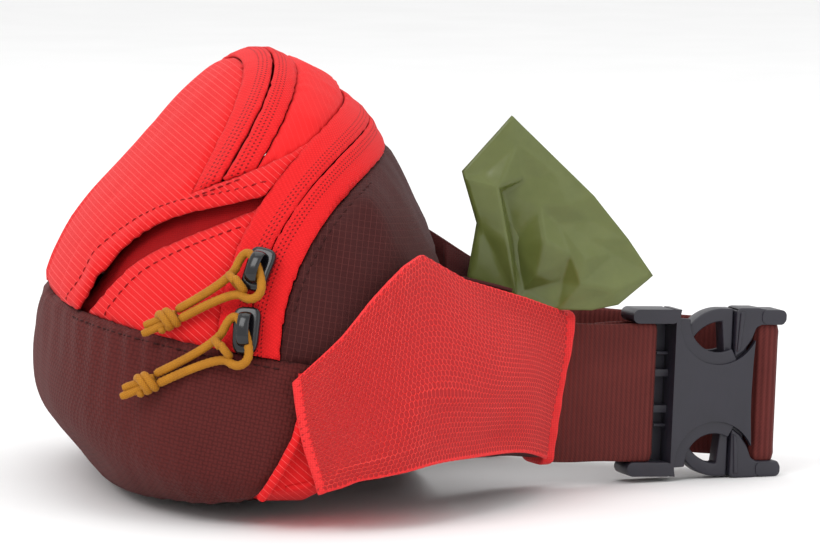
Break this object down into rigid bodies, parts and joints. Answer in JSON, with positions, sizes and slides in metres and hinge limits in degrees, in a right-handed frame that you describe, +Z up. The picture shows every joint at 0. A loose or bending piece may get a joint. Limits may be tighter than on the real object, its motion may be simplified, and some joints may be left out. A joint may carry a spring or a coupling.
{
  "type": "waist pack",
  "caption": "Domed fabric waist pack with zipped pockets, hip wings, a webbing belt closed by a side-release buckle and a waste bag dispenser in one wing.",
  "frame": {"origin": "middle of the flat base that the pack stands on", "axes": "+X the wearer's right side, the near side in the view, -Y the front, +Z up"},
  "size_m": [0.211, 0.2071, 0.1195],
  "materials": {
    "red_ripstop": "woven ripstop, satin",
    "zip_tape": "woven tape",
    "maroon_ripstop": "woven ripstop, satin",
    "maroon_weave": "coarse basket weave",
    "back_fabric": "plain weave",
    "lining": "light lining cloth",
    "foam": "closed-cell padding",
    "red_mesh": "knitted air mesh",
    "webbing": "ribbed webbing",
    "charcoal_plastic": "fine satin moulding",
    "black_metal": "gloss black enamel",
    "mustard_cord": "braided cord",
    "green_film": "thin translucent film",
    "roll_card": "pressed card"
  },
  "bodies": {
    "pack": {"back_foam": "foam", "back_panel": "back_fabric", "base_panel": "maroon_weave", "buckle_female": "charcoal_plastic", "front_panel": "red_ripstop", "front_zip_coil": "zip_tape", "front_zip_tape_lower": "zip_tape", "front_zip_tape_upper": "zip_tape", "left_lower_panel": "red_ripstop", "left_piping": "red_ripstop", "left_pocket_lining": "lining", "left_side_pocket": "red_ripstop", "left_webbing": "webbing", "left_wing_end": "red_mesh", "left_wing_floor": "back_fabric", "left_wing_foam": "foam", "left_wing_lining": "back_fabric", "left_wing_mesh": "red_mesh", "left_wing_top": "back_fabric", "left_wing_top_end": "back_fabric", "main_zip_coil": "zip_tape", "main_zip_tape_front": "zip_tape", "main_zip_tape_rear": "zip_tape", "pocket_divider": "lining", "rear_gusset": "maroon_ripstop", "right_lower_panel": "red_ripstop", "right_piping": "red_ripstop", "right_pocket_lining": "lining", "right_side_pocket": "red_ripstop", "right_webbing": "webbing", "right_wing_end": "red_mesh", "right_wing_floor": "back_fabric", "right_wing_foam": "foam", "right_wing_lining": "back_fabric", "right_wing_mesh": "red_mesh", "right_wing_top": "back_fabric", "right_wing_top_end": "back_fabric", "top_panel": "red_ripstop"},
    "upper_slider": {"main_slider_upper": "black_metal"},
    "upper_pull": {"upper_pull_cord": "mustard_cord", "upper_pull_knot": "mustard_cord"},
    "lower_slider": {"main_slider_lower": "black_metal"},
    "lower_pull": {"lower_pull_cord": "mustard_cord", "lower_pull_knot": "mustard_cord"},
    "front_slider": {"front_slider": "black_metal"},
    "front_pull": {"front_pull_cord": "mustard_cord", "front_pull_knot": "mustard_cord"},
    "buckle_male": {"buckle_male": "charcoal_plastic", "webbing_turn": "webbing"},
    "prong_upper": {"prong_upper": "charcoal_plastic"},
    "prong_lower": {"prong_lower": "charcoal_plastic"},
    "bag_film": {"waste_bag_film": "green_film"},
    "bag_roll": {"waste_bag_roll": "green_film", "roll_core": "roll_card"}
  },
  "joints": [
    {"name": "upper_slider_travel", "type": "hinge", "parent": "pack", "child": "upper_slider", "pos_m": [0.05377, 0.0404, 0.04809], "axis": [-0.6717, -0.7122, 0.2039], "range_deg": [0, 13]},
    {"name": "upper_pull_swing", "type": "hinge", "parent": "upper_slider", "child": "upper_pull", "pos_m": [0.09306, 0.00949, 0.06695], "axis": [-0.5063, -0.2172, 0.8346], "range_deg": [0, 60]},
    {"name": "lower_slider_travel", "type": "hinge", "parent": "pack", "child": "lower_slider", "pos_m": [0.10299, 0.07207, 0.04484], "axis": [-0.9461, 0.0923, -0.3105], "range_deg": [0, 1.5]},
    {"name": "lower_pull_swing", "type": "hinge", "parent": "lower_slider", "child": "lower_pull", "pos_m": [0.09804, 0.00561, 0.05065], "axis": [-0.401, -0.2163, 0.8902], "range_deg": [0, 60]},
    {"name": "front_slider_travel", "type": "hinge", "parent": "pack", "child": "front_slider", "pos_m": [-0.03005, -0.00024, 0.0835], "axis": [0, 0.835, -0.5503], "range_deg": [0, 28]},
    {"name": "front_pull_swing", "type": "hinge", "parent": "front_slider", "child": "front_pull", "pos_m": [-0.06532, 0.00563, 0.09768], "axis": [-0.8111, 0.5818, -0.0609], "range_deg": [0, 60]},
    {"name": "buckle_pull_out", "type": "slide", "parent": "pack", "child": "buckle_male", "axis": [-0.2077, 0.9772, -0.0436], "range_m": [0, 0.03]},
    {"name": "upper_prong_squeeze", "type": "hinge", "parent": "buckle_male", "child": "prong_upper", "pos_m": [0.01657, 0.14875, 0.03237], "axis": [0.9781, 0.2079, 0], "range_deg": [0, 6], "stiffness_Nm_per_rad": 0.08},
    {"name": "lower_prong_squeeze", "type": "hinge", "parent": "buckle_male", "child": "prong_lower", "pos_m": [0.01675, 0.14788, 0.01199], "axis": [-0.9781, -0.2079, 0], "range_deg": [0, 6], "stiffness_Nm_per_rad": 0.08},
    {"name": "roll_spin", "type": "hinge", "parent": "pack", "child": "bag_roll", "pos_m": [0.0483, 0.081, 0.024], "axis": [-0.8383, 0.5452, 0], "range_deg": [0, 180]},
    {"name": "film_draw", "type": "slide", "parent": "pack", "child": "bag_film", "axis": [0, 0, 1], "range_m": [0, 0.0188]}
  ],
  "couplings": [
    {"joint": "roll_spin", "follows": "film_draw", "rad_per_m": 166.7}
  ]
}
